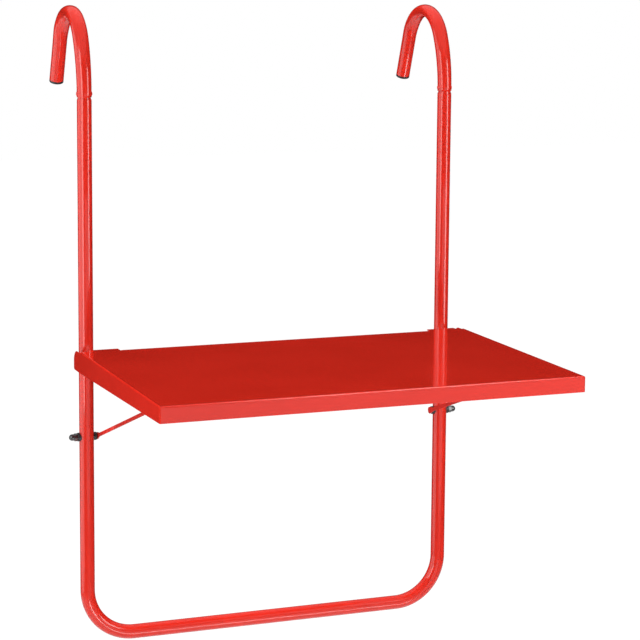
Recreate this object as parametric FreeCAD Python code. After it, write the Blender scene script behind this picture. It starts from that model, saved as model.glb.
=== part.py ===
import FreeCAD, Part
import math
import os
from FreeCAD import Vector

# Balcony railing table: a tube frame that hangs from a rail by two hooks, and a folding sheet steel tray.
# Millimetres and degrees. X runs along the rail, +Y points over the rail, +Z is up.
# The origin is midway between the hooks, where their crowns lie on the rail's top.

# Frame tube
tube_diameter = 21.0
tube_wall = 1.5
upright_spacing = 560.0
corner_radius = 70.0
table_drop = 466.5
frame_drop = 432.5
neck_length = 10.0
neck_taper = 4.0
neck_clearance = 0.1

# Hooks
hook_diameter = 21.0
hook_wall = 1.5
hook_straight = 6.0
hook_sweep_radius = 175.0
hook_lean = 26.0
crown_radius = 64.0
hook_splay = 21.0
hook_leg = 66.0
plug_head = 4.0
plug_edge = 1.0
plug_stem = 15.0
rivet_diameter = 4.0
rivet_head_radius = 3.6
rivet_head_height = 1.3
rivet_rise = 5.0

# Tray
tray_depth = 387.0
sheet = 1.2
bend_radius = 3.0
rear_gap = 43.5
front_flange = 22.0
side_flange_rear = 31.0
ear_rear = 7.5
ear_top_drop = 3.0
ear_top_radius = 16.0
ear_bottom_radius = 4.0
tab_width = 45.0
tab_depth = 11.0
tab_corner = 2.0
stiffener_width = 60.0
stiffener_crown = 34.0
stiffener_height = 12.0
stiffener_end_gap = 50.0
stiffener_place = 0.5

# Tray hinge
hinge_reach = 30.5
hinge_height = 19.0
lug_thickness = 5.0
lug_radius = 9.5
lug_seat = 1.9
lug_tail = 5.0
bush_radius = 5.5
bush_flange_radius = 9.0
bush_flange = 2.0
stud_radius = 4.0
stud_collar_radius = 6.5
stud_collar = 3.0
stud_thread_radius = 3.0
running_clearance = 0.05
end_clearance = 0.2
hinge_washer_radius = 6.0
hinge_washer = 1.2
hinge_nut_flats = 10.0
hinge_nut = 6.0
stud_tail = 1.5

# Stays
stay_diameter = 5.5
stay_bend = 5.0
stay_offset = 16.0
stay_eye_radius = 5.2
stay_eye = 3.6
stay_eye_neck = 13.0
pivot_stud_radius = 3.0
stay_pivot_drop = 133.0
stay_pin_inset = 72.0
stay_pin_drop = 9.0
stay_pin_length = 19.0
spacer_radius = 6.0
washer_radius = 6.3
washer_thickness = 3.0
nut_gap = 0.1
cap_nut_flats = 10.0
cap_nut_hex = 5.0
cap_nut_height = 12.5
cap_nut_dome_radius = 4.75
cap_radius = 4.5
cap_length = 5.5
cap_bottom = 1.0
fold_angle = 82.0

# Stay guides
guide_thickness = 2.0
guide_flange = 14.0
guide_depth = 16.0
guide_offset = 11.0
guide_tooth = 12.0
guide_rear_tooth = 6.0
pin_play = 0.3
rear_play = 1.4
notch_roof = 1.0

# Places that follow from the sizes
upright_x = upright_spacing / 2
crown_z = hook_diameter / 2 - crown_radius
lean = math.radians(hook_lean)
splay = math.radians(hook_splay)
crown_start_y = -crown_radius * math.cos(lean)
crown_start_z = crown_z + crown_radius * math.sin(lean)
upright_y = crown_start_y - hook_sweep_radius * (1 - math.cos(lean))
sweep_start_z = crown_start_z - hook_sweep_radius * math.sin(lean)
joint_z = sweep_start_z - hook_straight
top_z = -table_drop
bottom_z = top_z - frame_drop
neck_radius = hook_diameter / 2 - hook_wall - neck_clearance
tray_rear_y = upright_y - rear_gap
tray_front_y = tray_rear_y - tray_depth
hinge_y = upright_y - hinge_reach
hinge_z = top_z - hinge_height
lug_inner_x = upright_x + tube_diameter / 2 - lug_seat
lug_outer_x = lug_inner_x + lug_thickness
side_x = lug_outer_x + bush_flange + end_clearance + stud_collar + sheet
tray_width = 2 * side_x
stiffener_length = tray_width - 2 * stiffener_end_gap
stay_x = upright_x - stay_offset
stay_radius = stay_diameter / 2
pivot_z = top_z - stay_pivot_drop
pin_y = tray_front_y + stay_pin_inset
stay_pin_reach = upright_y - pin_y
pin_z = top_z - stay_pin_drop


def box(x0, x1, y0, y1, z0, z1):
    return Part.makeBox(x1 - x0, y1 - y0, z1 - z0, Vector(x0, y0, z0))


def rod_along_x(x0, x1, y, z, radius):
    return Part.makeCylinder(radius, x1 - x0, Vector(x0, y, z), Vector(1, 0, 0))


def hexagon_along_x(x0, x1, y, z, flats):
    corner = flats / math.sqrt(3)
    points = []
    for turn in range(7):
        angle = math.radians(60 * turn)
        points.append(Vector(x0, y + corner * math.cos(angle), z + corner * math.sin(angle)))
    return Part.Face(Part.makePolygon(points)).extrude(Vector(x1 - x0, 0, 0))


def upright(radius):
    return Part.makeCylinder(radius, joint_z - bottom_z, Vector(upright_x, upright_y, bottom_z))


def arc(centre, radius, start, end, across, up):
    """Circle arc from start to end, in radians, in the plane of the vectors across and up."""
    points = []
    for angle in (start, (start + end) / 2, end):
        points.append(centre + across * (radius * math.cos(angle)) + up * (radius * math.sin(angle)))
    return Part.Arc(*points).toShape()


def straight(start, end, radius):
    return Part.makeCylinder(radius, (end - start).Length, start, end - start)


def turned(start, direction, centre, axis, degrees, radius):
    """Round bar that leaves start along direction and bends about an axis through centre."""
    disc = Part.Face(Part.Wire(Part.makeCircle(radius, start, direction)))
    return disc.revolve(centre, axis, degrees)


def joined(shapes):
    whole = shapes[0]
    for shape in shapes[1:]:
        whole = whole.fuse(shape)
    return whole.removeSplitter()


def side_plate(edges, x0, x1):
    """Plate that stands in the YZ plane, from x0 to x1, cut to an outline drawn at x = 0."""
    face = Part.Face(Part.Wire(edges))
    face.translate(Vector(x0, 0, 0))
    return face.extrude(Vector(x1 - x0, 0, 0))


def line(y0, z0, y1, z1):
    return Part.makeLine(Vector(0, y0, z0), Vector(0, y1, z1))


def save(name, shape):
    shape.exportStep("parts/" + name + ".step")


def save_pair(name, right_shape):
    save(name + "_right", right_shape)
    save(name + "_left", right_shape.mirror(Vector(0, 0, 0), Vector(1, 0, 0)))


def frame_bar(radius):
    """Round bar bent to the frame's U: left upright, corner, bottom bar, corner, right upright."""
    right, up = Vector(1, 0, 0), Vector(0, 0, 1)
    around = Vector(0, -1, 0)
    corner_x = upright_x - corner_radius
    corner_z = bottom_z + corner_radius
    end_z = joint_z - neck_taper
    left_low = Vector(-upright_x, upright_y, corner_z)
    right_low = Vector(upright_x, upright_y, corner_z)
    bottom_left = Vector(-corner_x, upright_y, bottom_z)
    bottom_right = Vector(corner_x, upright_y, bottom_z)
    return joined([
        straight(Vector(-upright_x, upright_y, end_z), left_low, radius),
        turned(left_low, up, Vector(-corner_x, upright_y, corner_z), around, 90, radius),
        straight(bottom_left, bottom_right, radius),
        turned(bottom_right, right, Vector(corner_x, upright_y, corner_z), around, 90, radius),
        straight(right_low, Vector(upright_x, upright_y, end_z), radius),
    ])


def frame_tube():
    """Tube bent to a U, with its two top ends necked down to enter the hooks."""
    shape = frame_bar(tube_diameter / 2).cut(frame_bar(tube_diameter / 2 - tube_wall))
    for side in (-1, 1):
        shape = shape.fuse(tube_neck(side * upright_x, joint_z - neck_taper))
    shape = shape.removeSplitter()
    for side in (-1, 1):
        centre = side * upright_x
        reach = tube_diameter
        hole_radius = pivot_stud_radius + running_clearance
        hole = rod_along_x(centre - reach, centre + reach, upright_y, pivot_z, hole_radius)
        rivet_z = joint_z + rivet_rise
        rivet_hole = rod_along_x(centre - reach, centre + reach, upright_y, rivet_z, rivet_diameter / 2)
        shape = shape.cut(hole).cut(rivet_hole)
    return shape


def tube_neck(x, end_z):
    outer = tube_diameter / 2
    top_z_neck = joint_z + neck_length
    profile = [
        Vector(x + outer - tube_wall, upright_y, end_z),
        Vector(x + outer, upright_y, end_z),
        Vector(x + neck_radius, upright_y, joint_z),
        Vector(x + neck_radius, upright_y, top_z_neck),
        Vector(x + neck_radius - tube_wall, upright_y, top_z_neck),
        Vector(x + neck_radius - tube_wall, upright_y, joint_z),
        Vector(x + outer - tube_wall, upright_y, end_z),
    ]
    face = Part.Face(Part.makePolygon(profile))
    return face.revolve(Vector(x, upright_y, 0), Vector(0, 0, 1), 360)


def hook_leg_start():
    return Vector(upright_x, crown_radius * math.cos(splay), crown_z + crown_radius * math.sin(splay))


def leg_direction():
    return Vector(0, math.sin(splay), -math.cos(splay))


def hook_bar(radius):
    """Round bar bent to the right hook: straight, a slow sweep back, the crown over the rail, the leg."""
    across = Vector(1, 0, 0)
    foot = Vector(upright_x, upright_y, joint_z)
    sweep_start = Vector(upright_x, upright_y, sweep_start_z)
    sweep_centre = Vector(upright_x, upright_y + hook_sweep_radius, sweep_start_z)
    crown_start = Vector(upright_x, crown_start_y, crown_start_z)
    crown_centre = Vector(upright_x, 0, crown_z)
    leg_end = hook_leg_start() + leg_direction() * hook_leg
    crown_turn = 180 - hook_lean - hook_splay
    leaning = Vector(0, math.sin(lean), math.cos(lean))
    return joined([
        straight(foot, sweep_start, radius),
        turned(sweep_start, Vector(0, 0, 1), sweep_centre, across, -hook_lean, radius),
        turned(crown_start, leaning, crown_centre, across, -crown_turn, radius),
        straight(hook_leg_start(), leg_end, radius),
    ])


def hook():
    reach = hook_diameter
    rivet_z = joint_z + rivet_rise
    hole = rod_along_x(upright_x - reach, upright_x + reach, upright_y, rivet_z, rivet_diameter / 2)
    return hook_bar(hook_diameter / 2).cut(hook_bar(hook_diameter / 2 - hook_wall)).cut(hole)


def hook_plug():
    """Plastic plug: a rounded head on the tube's end and a stem in its bore."""
    end = hook_leg_start() + leg_direction() * hook_leg
    head = Part.makeCylinder(hook_diameter / 2, plug_head, end, leg_direction())
    far = end + leg_direction() * plug_head
    rim = [edge for edge in head.Edges if edge.Curve.TypeId == "Part::GeomCircle"
           and edge.Curve.Center.distanceToPoint(far) < plug_edge / 2]
    head = head.makeFillet(plug_edge, rim)
    stem_radius = hook_diameter / 2 - hook_wall - neck_clearance
    return head.fuse(Part.makeCylinder(stem_radius, plug_stem, end, -leg_direction())).removeSplitter()


def joint_rivet():
    """Cross rivet through hook and neck, with a low dome at each end."""
    z = joint_z + rivet_rise
    half = hook_diameter / 2
    shape = rod_along_x(upright_x - half, upright_x + half, upright_y, z, rivet_diameter / 2)
    dome_radius = (rivet_head_radius ** 2 + rivet_head_height ** 2) / (2 * rivet_head_height)
    seat_foot = Vector(upright_x, upright_y, z - 2 * rivet_head_radius)
    seat = Part.makeCylinder(half, 4 * rivet_head_radius, seat_foot)
    for side in (-1, 1):
        middle = upright_x + side * (half + rivet_head_height - dome_radius)
        dome = Part.makeSphere(dome_radius, Vector(middle, upright_y, z))
        inner = upright_x + side * (half - rivet_head_height)
        outer = upright_x + side * (half + 2 * rivet_head_height)
        stock = rod_along_x(min(inner, outer), max(inner, outer), upright_y, z, rivet_head_radius)
        shape = shape.fuse(dome.common(stock).cut(seat))
    return shape.removeSplitter()


def hinge_lug():
    """Plate welded to the upright's outer flank: a round eye in front, and a tail along the tube."""
    low, high = hinge_z - lug_radius, hinge_z + lug_radius
    tail_y = upright_y + lug_tail
    back, up = Vector(0, 1, 0), Vector(0, 0, 1)
    outline = [
        arc(Vector(0, hinge_y, hinge_z), lug_radius, 0.5 * math.pi, 1.5 * math.pi, back, up),
        line(hinge_y, low, tail_y, low),
        line(tail_y, low, tail_y, high),
        line(tail_y, high, hinge_y, high),
    ]
    plate = side_plate(outline, lug_inner_x, lug_outer_x)
    eye = rod_along_x(lug_inner_x, lug_outer_x, hinge_y, hinge_z, bush_radius)
    return plate.cut(upright(tube_diameter / 2)).cut(eye)


def hinge_bush():
    flange_x = lug_outer_x + bush_flange
    sleeve = rod_along_x(lug_inner_x, lug_outer_x, hinge_y, hinge_z, bush_radius)
    flange = rod_along_x(lug_outer_x, flange_x, hinge_y, hinge_z, bush_flange_radius)
    bore = rod_along_x(lug_inner_x, flange_x, hinge_y, hinge_z, stud_radius + running_clearance)
    return sleeve.fuse(flange).removeSplitter().cut(bore)


def hinge_stud():
    """Stud welded inside the tray's ear: collar, shoulder that turns in the bush, threaded tail."""
    collar_x = lug_outer_x + bush_flange + end_clearance
    shoulder_x = lug_inner_x - end_clearance
    tail_x = shoulder_x - hinge_washer - hinge_nut - stud_tail
    collar = rod_along_x(collar_x, side_x - sheet, hinge_y, hinge_z, stud_collar_radius)
    shoulder = rod_along_x(shoulder_x, collar_x, hinge_y, hinge_z, stud_radius)
    thread = rod_along_x(tail_x, shoulder_x, hinge_y, hinge_z, stud_thread_radius)
    return collar.fuse(shoulder).fuse(thread).removeSplitter()


def hinge_washer_ring():
    outer_x = lug_inner_x - end_clearance
    inner_x = outer_x - hinge_washer
    ring = rod_along_x(inner_x, outer_x, hinge_y, hinge_z, hinge_washer_radius)
    return ring.cut(rod_along_x(inner_x, outer_x, hinge_y, hinge_z, stud_thread_radius))


def hinge_lock_nut():
    """Lock nut: hexagon with a round collar that holds the plastic insert."""
    outer_x = lug_inner_x - end_clearance - hinge_washer
    inner_x = outer_x - hinge_nut
    collar_radius = hinge_nut_flats / 2 - end_clearance
    collar_x = inner_x + hinge_nut / 3
    body = hexagon_along_x(collar_x, outer_x, hinge_y, hinge_z, hinge_nut_flats)
    collar = rod_along_x(inner_x, collar_x, hinge_y, hinge_z, collar_radius)
    return body.fuse(collar).cut(rod_along_x(inner_x, outer_x, hinge_y, hinge_z, stud_thread_radius))


def stay_rod():
    """Rod with a flattened eye below; its upper end is bent outward, into the tray's guide."""
    pivot = Vector(stay_x, upright_y, pivot_z)
    pin = Vector(stay_x, pin_y, pin_z)
    run = (pin - pivot).normalize()
    out = Vector(1, 0, 0)
    bend_start = pin - run * stay_bend
    bend_centre = bend_start + out * stay_bend
    rod = joined([
        straight(pivot + run * stay_eye_neck, bend_start, stay_radius),
        turned(bend_start, run, bend_centre, run.cross(out), 90, stay_radius),
        straight(pin + out * stay_bend, pin + out * stay_pin_length, stay_radius),
    ])
    eye = rod_along_x(stay_x - stay_eye / 2, stay_x + stay_eye / 2, upright_y, pivot_z, stay_eye_radius)
    return rod.fuse(eye).fuse(stay_eye_blade(pivot, run)).removeSplitter()


def stay_eye_blade(pivot, run):
    """Wedge that narrows and thickens from the eye to the round of the rod."""
    flank = Vector(1, 0, 0).cross(run)
    sections = []
    for along, half_width, half_depth in (
            (0, stay_eye_radius, stay_eye / 2),
            (stay_eye_neck + stay_radius, stay_radius * 0.8, stay_radius * 0.6)):
        middle = pivot + run * along
        corners = []
        for a, b in ((-1, -1), (1, -1), (1, 1), (-1, 1), (-1, -1)):
            corners.append(middle + flank * (a * half_width) + Vector(b * half_depth, 0, 0))
        sections.append(Part.makePolygon(corners))
    return Part.makeLoft(sections, True, True)


def stay_stud():
    """Threaded stud welded to the outer face of the stay's eye."""
    inner_x = stay_x + stay_eye / 2
    return rod_along_x(inner_x, outer_nut_x() + cap_nut_hex, upright_y, pivot_z, pivot_stud_radius)


def outer_nut_x():
    return upright_x + tube_diameter / 2 + washer_thickness + nut_gap


def stay_spacer():
    """Plastic ring between the upright and the stay's eye, hollowed to sit on the tube."""
    inner_x = stay_x + stay_eye / 2 + nut_gap
    ring = rod_along_x(inner_x, upright_x, upright_y, pivot_z, spacer_radius)
    bore = rod_along_x(inner_x, upright_x, upright_y, pivot_z, pivot_stud_radius + running_clearance)
    return ring.cut(upright(tube_diameter / 2)).cut(bore)


def nut_washer():
    """Plastic washer under the cap nut, hollowed to sit on the tube."""
    outer_x = upright_x + tube_diameter / 2 + washer_thickness
    ring = rod_along_x(upright_x, outer_x, upright_y, pivot_z, washer_radius)
    bore = rod_along_x(upright_x, outer_x, upright_y, pivot_z, pivot_stud_radius + running_clearance)
    return ring.cut(upright(tube_diameter / 2)).cut(bore)


def cap_nut():
    """Domed cap nut screwed on the stay's stud."""
    x0 = outer_nut_x()
    hexagon = hexagon_along_x(x0, x0 + cap_nut_hex, upright_y, pivot_z, cap_nut_flats)
    dome_x = x0 + cap_nut_height - cap_nut_dome_radius
    chamfer_centre = Vector(x0 - cap_nut_hex / 2, upright_y, pivot_z)
    chamfer = Part.makeSphere(cap_nut_height - cap_nut_hex / 2, chamfer_centre)
    waist = rod_along_x(x0, dome_x, upright_y, pivot_z, cap_nut_dome_radius)
    dome = Part.makeSphere(cap_nut_dome_radius, Vector(dome_x, upright_y, pivot_z))
    thread = rod_along_x(x0, x0 + cap_nut_hex, upright_y, pivot_z, pivot_stud_radius)
    return hexagon.common(chamfer).fuse(waist).fuse(dome).removeSplitter().cut(thread)


def stay_cap():
    """Plastic cap pushed on the stay's upper end, outside the guide."""
    tip_x = stay_x + stay_pin_length
    body = rod_along_x(tip_x - cap_length, tip_x + cap_bottom, pin_y, pin_z, cap_radius)
    return body.cut(rod_along_x(tip_x - cap_length, tip_x, pin_y, pin_z, stay_radius))


def folded_pin_reach():
    """Distance from the hinge to the stay's upper end along the tray, with the tray folded up."""
    fold = math.radians(fold_angle)
    length = math.hypot(stay_pin_reach, stay_pivot_drop - stay_pin_drop)
    drop = stay_pivot_drop - hinge_height
    along = -hinge_reach * math.cos(fold) - drop * math.sin(fold)
    off = hinge_reach * math.sin(fold) - drop * math.cos(fold)
    return along + math.sqrt(length ** 2 - (off - hinge_height + stay_pin_drop) ** 2)


def stay_guide():
    """Angle bracket under the sheet; its upright leg is notched for the stay's upper end."""
    x0 = stay_x + guide_offset - guide_thickness
    x1 = stay_x + guide_offset
    under = top_z - sheet
    front_stop = pin_y - stay_radius - pin_play
    rear_stop = hinge_y - folded_pin_reach() + stay_radius + rear_play
    front_y = front_stop - guide_tooth
    rear_y = rear_stop + guide_rear_tooth
    leg = box(x0, x1, front_y, rear_y, under - guide_depth, under)
    foot = box(x1, x1 + guide_flange, front_y, rear_y, under - guide_thickness, under)
    roof = pin_z + stay_radius + notch_roof
    notch = box(x0, x1, front_stop, rear_stop, under - guide_depth, roof)
    return leg.cut(notch).fuse(foot).removeSplitter()


def folded_block(width, front_y, rear_y, top, bottom, radius):
    """Block with rounded top front and side edges and rounded front corners."""
    block = box(-width / 2, width / 2, front_y, rear_y, bottom, top)
    rounded = []
    for edge in block.Edges:
        middle = edge.BoundBox.Center
        on_rear = abs(middle.y - rear_y) < radius
        on_bottom = abs(middle.z - bottom) < radius
        if not on_rear and not on_bottom:
            rounded.append(edge)
    return block.makeFillet(radius, rounded)


def table_tray():
    """Sheet steel tray: top, front and side flanges, rear flange between the tabs, and two ears."""
    deep = top_z - side_flange_rear
    outer = folded_block(tray_width, tray_front_y, tray_rear_y, top_z, deep, bend_radius)
    inner = folded_block(tray_width - 2 * sheet, tray_front_y + sheet, tray_rear_y, top_z - sheet, deep,
                         bend_radius - sheet)
    tray = outer.cut(inner)
    taper = [
        line(tray_front_y, deep, tray_rear_y, deep),
        line(tray_rear_y, deep, tray_front_y, top_z - front_flange),
        line(tray_front_y, top_z - front_flange, tray_front_y, deep),
    ]
    tray = tray.cut(side_plate(taper, -side_x, side_x))
    tab_inner_x = stay_x - tab_width / 2
    bend_y = tray_rear_y - bend_radius
    tray = tray.cut(box(-tab_inner_x, tab_inner_x, bend_y, tray_rear_y, top_z - sheet, top_z))
    tray = tray.fuse(rear_flange(tab_inner_x))
    for side in (-1, 1):
        tray = tray.fuse(tray_tab(side * stay_x))
        ear_x = side * (side_x - sheet / 2)
        tray = tray.fuse(side_plate(ear_outline(), ear_x - sheet / 2, ear_x + sheet / 2))
    return tray.removeSplitter()


def rear_flange(half_width):
    back, up = Vector(0, 1, 0), Vector(0, 0, 1)
    centre_y, centre_z = tray_rear_y - bend_radius, top_z - bend_radius
    centre = Vector(0, centre_y, centre_z)
    low = top_z - front_flange
    inner_radius = bend_radius - sheet
    outline = [
        line(tray_rear_y, centre_z, tray_rear_y, low),
        line(tray_rear_y, low, tray_rear_y - sheet, low),
        line(tray_rear_y - sheet, low, tray_rear_y - sheet, centre_z),
        arc(centre, inner_radius, 0, 0.5 * math.pi, back, up),
        line(centre_y, top_z - sheet, centre_y, top_z),
        arc(centre, bend_radius, 0.5 * math.pi, 0, back, up),
    ]
    return side_plate(outline, -half_width, half_width)


def tray_tab(x):
    """Tab of the sheet that stays flat where the rear flange is left out for the stay."""
    half = tab_width / 2
    tab = box(x - half, x + half, tray_rear_y - tab_corner, tray_rear_y + tab_depth, top_z - sheet, top_z)
    corners = [edge for edge in tab.Edges
               if edge.BoundBox.ZLength > sheet / 2 and edge.BoundBox.Center.y > tray_rear_y]
    return tab.makeFillet(tab_corner, corners)


def ear_outline():
    """Side view of the ear: it runs back from the side flange, past the hinge stud."""
    back, up = Vector(0, 1, 0), Vector(0, 0, 1)
    front_y = tray_rear_y - bend_radius
    rear_y = upright_y - ear_rear
    high = top_z - ear_top_drop
    low = top_z - side_flange_rear
    front_low = low + (side_flange_rear - front_flange) * bend_radius / tray_depth
    top_y, top_centre_z = rear_y - ear_top_radius, high - ear_top_radius
    foot_y, foot_z = rear_y - ear_bottom_radius, low + ear_bottom_radius
    return [
        line(front_y, front_low, front_y, high),
        line(front_y, high, top_y, high),
        arc(Vector(0, top_y, top_centre_z), ear_top_radius, 0.5 * math.pi, 0, back, up),
        line(rear_y, top_centre_z, rear_y, foot_z),
        arc(Vector(0, foot_y, foot_z), ear_bottom_radius, 0, -0.5 * math.pi, back, up),
        line(foot_y, low, tray_rear_y, low),
        line(tray_rear_y, low, front_y, front_low),
    ]


def stiffener_rail():
    """Hat section spot welded under the sheet, across the tray."""
    middle = tray_rear_y - stiffener_place * tray_depth
    under = top_z - sheet
    half = stiffener_width / 2
    crown = stiffener_crown / 2
    low = under - stiffener_height
    foot_inner = crown + sheet
    points = [
        (-half, under), (-crown, under), (-crown, low + sheet), (crown, low + sheet), (crown, under),
        (half, under), (half, under - sheet), (foot_inner, under - sheet), (foot_inner, low),
        (-foot_inner, low), (-foot_inner, under - sheet), (-half, under - sheet),
    ]
    corners = [Vector(0, middle + y, z) for y, z in points]
    outline = Part.Face(Part.makePolygon(corners + corners[:1]))
    outline.translate(Vector(-stiffener_length / 2, 0, 0))
    return outline.extrude(Vector(stiffener_length, 0, 0))


os.makedirs("parts", exist_ok=True)
save("frame_tube", frame_tube())
save_pair("hook", hook())
save_pair("hook_plug", hook_plug())
save_pair("joint_rivet", joint_rivet())
save_pair("hinge_lug", hinge_lug())
save_pair("hinge_bush", hinge_bush())
save_pair("stay_spacer", stay_spacer())
save_pair("nut_washer", nut_washer())
save("table_tray", table_tray())
save("stiffener_rail", stiffener_rail())
save_pair("stay_guide", stay_guide())
save_pair("hinge_stud", hinge_stud())
save_pair("hinge_washer", hinge_washer_ring())
save_pair("hinge_nut", hinge_lock_nut())
save_pair("stay_rod", stay_rod())
save_pair("stay_stud", stay_stud())
save_pair("cap_nut", cap_nut())
save_pair("stay_cap", stay_cap())
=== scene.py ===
from math import atan2, cos, hypot, pi, radians, sin

import bmesh
import bpy
from mathutils import Matrix, Vector


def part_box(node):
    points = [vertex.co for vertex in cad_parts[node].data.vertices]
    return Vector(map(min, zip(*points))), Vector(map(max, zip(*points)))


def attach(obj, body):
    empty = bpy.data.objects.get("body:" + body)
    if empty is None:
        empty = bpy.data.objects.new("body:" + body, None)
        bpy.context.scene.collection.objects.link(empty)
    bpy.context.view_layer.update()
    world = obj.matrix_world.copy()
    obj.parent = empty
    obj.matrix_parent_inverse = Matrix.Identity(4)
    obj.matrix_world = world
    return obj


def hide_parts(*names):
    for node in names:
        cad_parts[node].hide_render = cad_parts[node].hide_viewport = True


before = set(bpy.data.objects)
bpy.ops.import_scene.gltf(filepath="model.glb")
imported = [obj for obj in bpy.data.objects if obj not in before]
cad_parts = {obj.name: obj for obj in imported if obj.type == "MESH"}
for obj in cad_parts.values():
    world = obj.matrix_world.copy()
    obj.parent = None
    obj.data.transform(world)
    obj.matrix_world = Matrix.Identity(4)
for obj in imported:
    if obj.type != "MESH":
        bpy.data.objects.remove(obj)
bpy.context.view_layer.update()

# Studio: a white room with a pale floor well below the hanging table. Two tall strips and a side box
# draw the pale lines along the tubes, and a box overhead lights the top. Mirrored rays find floor and
# sky dark near the horizon, which keeps the glossy top deep red.
scene = bpy.context.scene
scene.view_settings.view_transform = "Standard"

floor_depth = 1.62
floor_form = bmesh.new()
bmesh.ops.create_grid(floor_form, x_segments=1, y_segments=1, size=14)
bmesh.ops.translate(floor_form, verts=floor_form.verts, vec=(0, 0, -floor_depth))
floor_mesh = bpy.data.meshes.new("floor")
floor_form.to_mesh(floor_mesh)
floor_form.free()
floor = bpy.data.objects.new("floor", floor_mesh)
scene.collection.objects.link(floor)


def new_material(name):
    """A node material, its node tree and its Principled shader."""
    material = bpy.data.materials.new(name)
    material.use_nodes = True
    tree = material.node_tree
    return material, tree, tree.nodes["Principled BSDF"]


def math_node(tree, first, second, operation="ADD"):
    """A Math node on two sockets or numbers."""
    made = tree.nodes.new("ShaderNodeMath")
    made.operation = operation
    for place, value in enumerate((first, second)):
        if isinstance(value, float):
            made.inputs[place].default_value = value
        else:
            tree.links.new(value, made.inputs[place])
    return made.outputs[0]


floor_material, tree, shader = new_material("pale_floor")
shader.inputs["Base Color"].default_value = (0.80, 0.80, 0.80, 1)
shader.inputs["Roughness"].default_value = 0.85
shader.inputs["Specular IOR Level"].default_value = 0.1
glow = tree.nodes.new("ShaderNodeEmission")
glow.inputs["Strength"].default_value = 1.12
light_path = tree.nodes.new("ShaderNodeLightPath")
seen = math_node(tree, light_path.outputs["Is Camera Ray"], light_path.outputs["Is Transmission Ray"])
floor_mix = tree.nodes.new("ShaderNodeMixShader")
tree.links.new(math_node(tree, seen, 0.9, "MULTIPLY"), floor_mix.inputs[0])
tree.links.new(shader.outputs[0], floor_mix.inputs[1])
tree.links.new(glow.outputs[0], floor_mix.inputs[2])
place = tree.nodes.new("ShaderNodeTexCoord")
distance = tree.nodes.new("ShaderNodeVectorMath")
distance.operation = "LENGTH"
tree.links.new(place.outputs["Object"], distance.inputs[0])
# Painted dark reflection: beyond about 2.4 m from the scene's origin the floor fades to near black for
# mirrored rays only (93 % black past 3.2 m), so the glossy top reflects darkness there and stays deep red.
far_black_share = tree.nodes.new("ShaderNodeMapRange")
far_black_share.inputs["From Min"].default_value = 2.4
far_black_share.inputs["From Max"].default_value = 3.2
far_black_share.inputs["To Max"].default_value = 0.93
tree.links.new(distance.outputs["Value"], far_black_share.inputs["Value"])
mirrored_black = tree.nodes.new("ShaderNodeEmission")
mirrored_black.inputs["Strength"].default_value = 0.0
mirrored_black_mix = tree.nodes.new("ShaderNodeMixShader")
dark_part = math_node(tree, light_path.outputs["Is Glossy Ray"], far_black_share.outputs[0], "MULTIPLY")
tree.links.new(dark_part, mirrored_black_mix.inputs[0])
tree.links.new(floor_mix.outputs[0], mirrored_black_mix.inputs[1])
tree.links.new(mirrored_black.outputs[0], mirrored_black_mix.inputs[2])
tree.links.new(mirrored_black_mix.outputs[0], tree.nodes["Material Output"].inputs["Surface"])
floor.data.materials.append(floor_material)

world = bpy.data.worlds.new("studio")
world.use_nodes = True
scene.world = world
tree = world.node_tree
sky = tree.nodes["Background"]
direction = tree.nodes.new("ShaderNodeTexCoord")
split = tree.nodes.new("ShaderNodeSeparateXYZ")
tree.links.new(direction.outputs["Generated"], split.inputs[0])
height = tree.nodes.new("ShaderNodeValToRGB")
for element, (position, level) in zip(height.color_ramp.elements, ((0.32, 0.01), (0.62, 1.0))):
    element.position = position
    element.color = (level, level, level, 1)
tree.links.new(split.outputs["Z"], height.inputs[0])
tree.links.new(height.outputs[0], sky.inputs["Color"])
sky.inputs["Strength"].default_value = 0.2
white = tree.nodes.new("ShaderNodeBackground")
white.inputs["Color"].default_value = (1, 1, 1, 1)
light_path = tree.nodes.new("ShaderNodeLightPath")
overhead = math_node(tree, split.outputs["Z"], 0.5, "GREATER_THAN")
paler = math_node(tree, overhead, 0.35, "MULTIPLY")
mirrored_sky = math_node(tree, light_path.outputs["Is Glossy Ray"], paler, "MULTIPLY")
seen = math_node(tree, light_path.outputs["Is Camera Ray"], light_path.outputs["Is Transmission Ray"])
sky_mix = tree.nodes.new("ShaderNodeMixShader")
tree.links.new(math_node(tree, seen, mirrored_sky), sky_mix.inputs[0])
tree.links.new(sky.outputs[0], sky_mix.inputs[1])
tree.links.new(white.outputs[0], sky_mix.inputs[2])
tree.links.new(sky_mix.outputs[0], tree.nodes["World Output"].inputs["Surface"])

# The pieces are sorted by form, so that a lamp can be mirrored in one kind of piece only.
round_pieces = bpy.data.collections.new("round_pieces")
sheet_pieces = bpy.data.collections.new("sheet_pieces")


def soft_box(name, place, aim, width, tall, watts, mirrored=True):
    """Rectangular lamp that faces aim."""
    lamp = bpy.data.lights.new(name, "AREA")
    lamp.shape = "RECTANGLE"
    lamp.size = width
    lamp.size_y = tall
    lamp.energy = watts
    holder = bpy.data.objects.new(name, lamp)
    holder.location = place
    holder.rotation_euler = (Vector(aim) - Vector(place)).to_track_quat("-Z", "Y").to_euler()
    holder.visible_glossy = mirrored
    scene.collection.objects.link(holder)
    return holder


def gloss_box(name, pieces, place, aim, width, tall, watts):
    """Soft box that is only mirrored, in one group of pieces. It stands just before its plain twin."""
    holder = soft_box(name, place, aim, width, tall, watts)
    holder.location += (Vector(aim) - Vector(place)) * 0.01
    holder.visible_diffuse = False
    holder.light_linking.receiver_collection = pieces


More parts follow.
